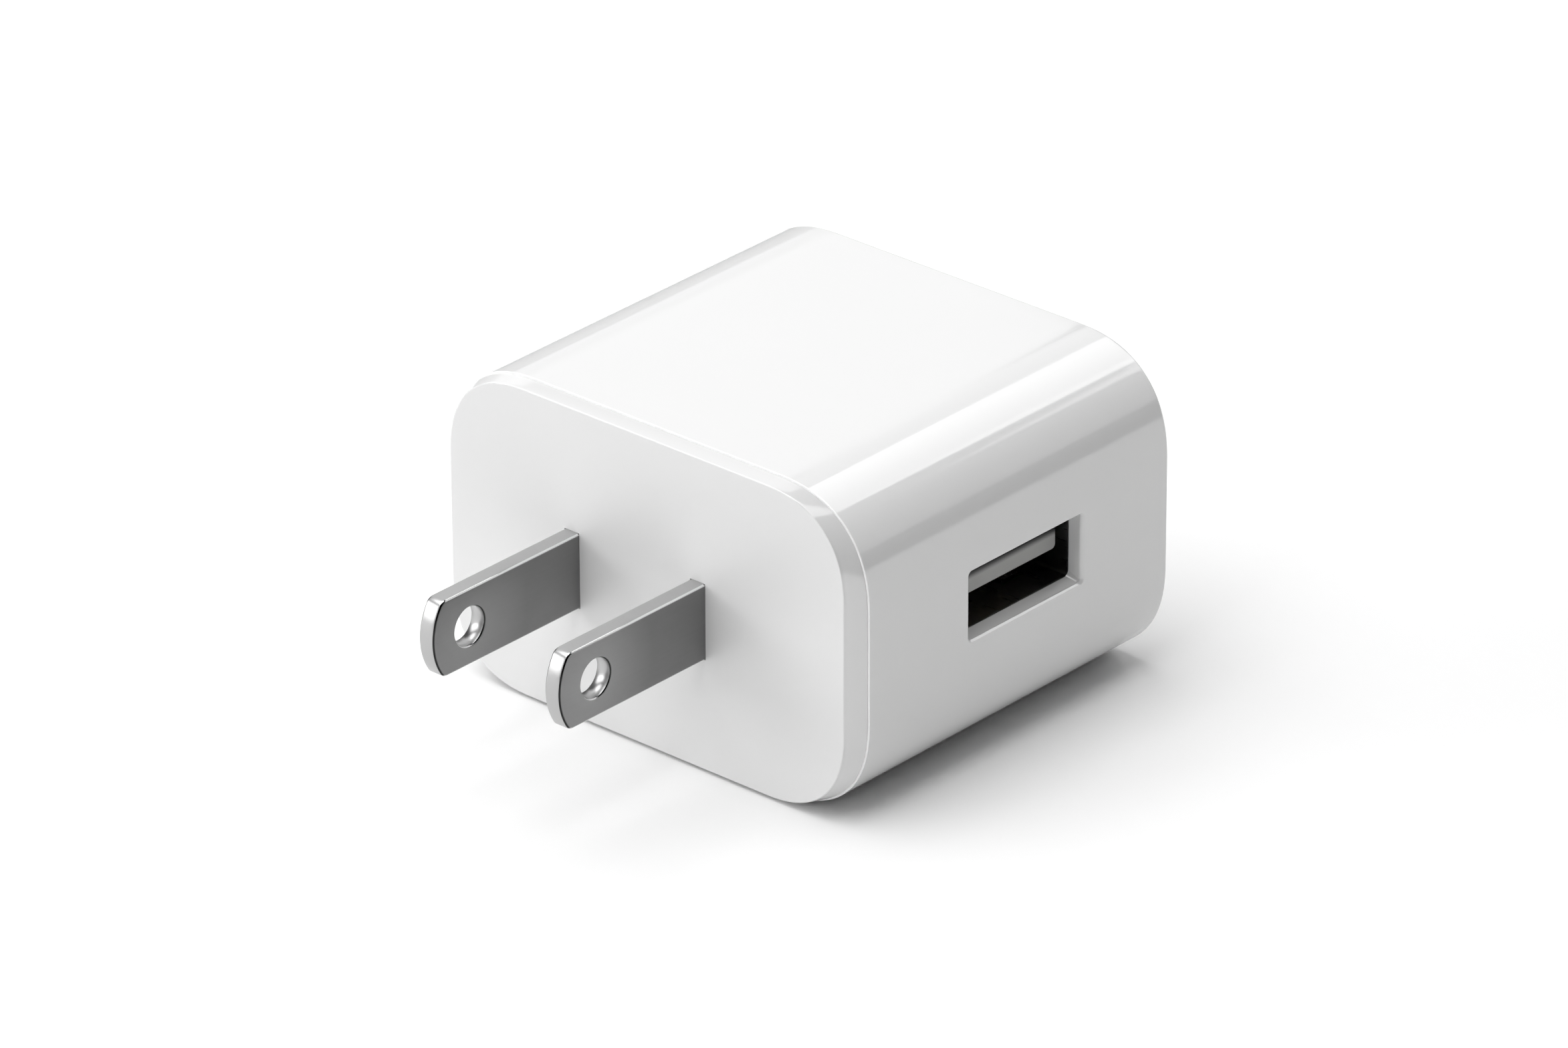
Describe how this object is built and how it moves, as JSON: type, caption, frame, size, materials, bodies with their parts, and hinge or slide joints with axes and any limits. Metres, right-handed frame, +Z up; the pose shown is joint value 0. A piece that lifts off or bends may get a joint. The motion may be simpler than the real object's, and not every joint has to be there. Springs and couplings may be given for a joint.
{
  "type": "usb wall charger",
  "caption": "Compact mains charger: glossy rounded shell, separate bevelled front cap with two fixed flat blades, and a USB-A port in one side.",
  "frame": {"origin": "centre of the blade face, midway between the two blades", "axes": "+Y back into the body (the blades point along -Y), +Z up, +X towards the USB port"},
  "size_m": [0.042, 0.052, 0.0264],
  "materials": {
    "white_shell": "smooth gloss moulding",
    "nickel": "satin nickel plate over brass",
    "retainer_plastic": "moulded, fine matt grain",
    "spring_brass": "bright stamped strip",
    "board": "green solder mask, satin",
    "port_steel": "black nickel plated sheet, satin",
    "port_plastic": "moulded warm grey, satin",
    "contact_gold": "gold flash",
    "ferrite": "sintered, dull",
    "bobbin_plastic": "phenolic, satin",
    "winding_tape": "polyester tape, semi-gloss",
    "tinned_wire": "tinned, bright",
    "bulk_sleeve": "shrink sleeve over an aluminium can",
    "output_sleeve": "shrink sleeve over an aluminium can",
    "bung_rubber": "matt",
    "resistor_enamel": "dipped enamel, semi-gloss",
    "enamelled_copper": "enamelled wire, close turns",
    "disc_enamel": "dipped enamel, semi-gloss",
    "chip_epoxy": "moulded epoxy, matt",
    "coupler_plastic": "moulded epoxy, matt",
    "chip_ceramic": "fired, dull",
    "barrier_film": "fish-paper look, matt",
    "solder": "bright fillet"
  },
  "bodies": {
    "charger": {"rear_housing": "white_shell", "front_cover": "white_shell", "blade_left": "nickel", "blade_right": "nickel", "blade_retainer": "retainer_plastic", "blade_clip_left": "spring_brass", "blade_clip_right": "spring_brass", "main_board": "board", "usb_shell": "port_steel", "usb_insulator": "port_plastic", "usb_terminals": "contact_gold", "transformer_core_left": "ferrite", "transformer_core_right": "ferrite", "transformer_bobbin": "bobbin_plastic", "transformer_winding": "winding_tape", "transformer_pins": "tinned_wire", "core_tape": "winding_tape", "bulk_capacitor_1": "bulk_sleeve", "bulk_capacitor_2": "bulk_sleeve", "output_capacitor_1": "output_sleeve", "output_capacitor_2": "output_sleeve", "capacitor_bungs": "bung_rubber", "capacitor_leads": "tinned_wire", "fuse_resistor": "resistor_enamel", "filter_inductor_core": "ferrite", "filter_inductor_winding": "enamelled_copper", "y_capacitor": "disc_enamel", "component_leads": "tinned_wire", "bridge_rectifier": "chip_epoxy", "control_chip": "chip_epoxy", "optocoupler": "coupler_plastic", "output_diode": "chip_epoxy", "chip_legs": "tinned_wire", "chip_parts": "chip_ceramic", "insulation_sheet": "barrier_film", "solder_joints": "solder"},
    "contact_1": {"usb_contact_1": "contact_gold"},
    "contact_2": {"usb_contact_2": "contact_gold"},
    "contact_3": {"usb_contact_3": "contact_gold"},
    "contact_4": {"usb_contact_4": "contact_gold"}
  },
  "joints": [
    {"name": "contact_1_flex", "type": "hinge", "parent": "charger", "child": "contact_1", "pos_m": [0.01035, 0.0159, 0.00177], "axis": [0, -1, 0], "range_deg": [0, 3], "stiffness_Nm_per_rad": 0.1},
    {"name": "contact_2_flex", "type": "hinge", "parent": "charger", "child": "contact_2", "pos_m": [0.01035, 0.0184, 0.00177], "axis": [0, -1, 0], "range_deg": [0, 3], "stiffness_Nm_per_rad": 0.1},
    {"name": "contact_3_flex", "type": "hinge", "parent": "charger", "child": "contact_3", "pos_m": [0.01035, 0.0204, 0.00177], "axis": [0, -1, 0], "range_deg": [0, 3], "stiffness_Nm_per_rad": 0.1},
    {"name": "contact_4_flex", "type": "hinge", "parent": "charger", "child": "contact_4", "pos_m": [0.01035, 0.0229, 0.00177], "axis": [0, -1, 0], "range_deg": [0, 3], "stiffness_Nm_per_rad": 0.1}
  ]
}
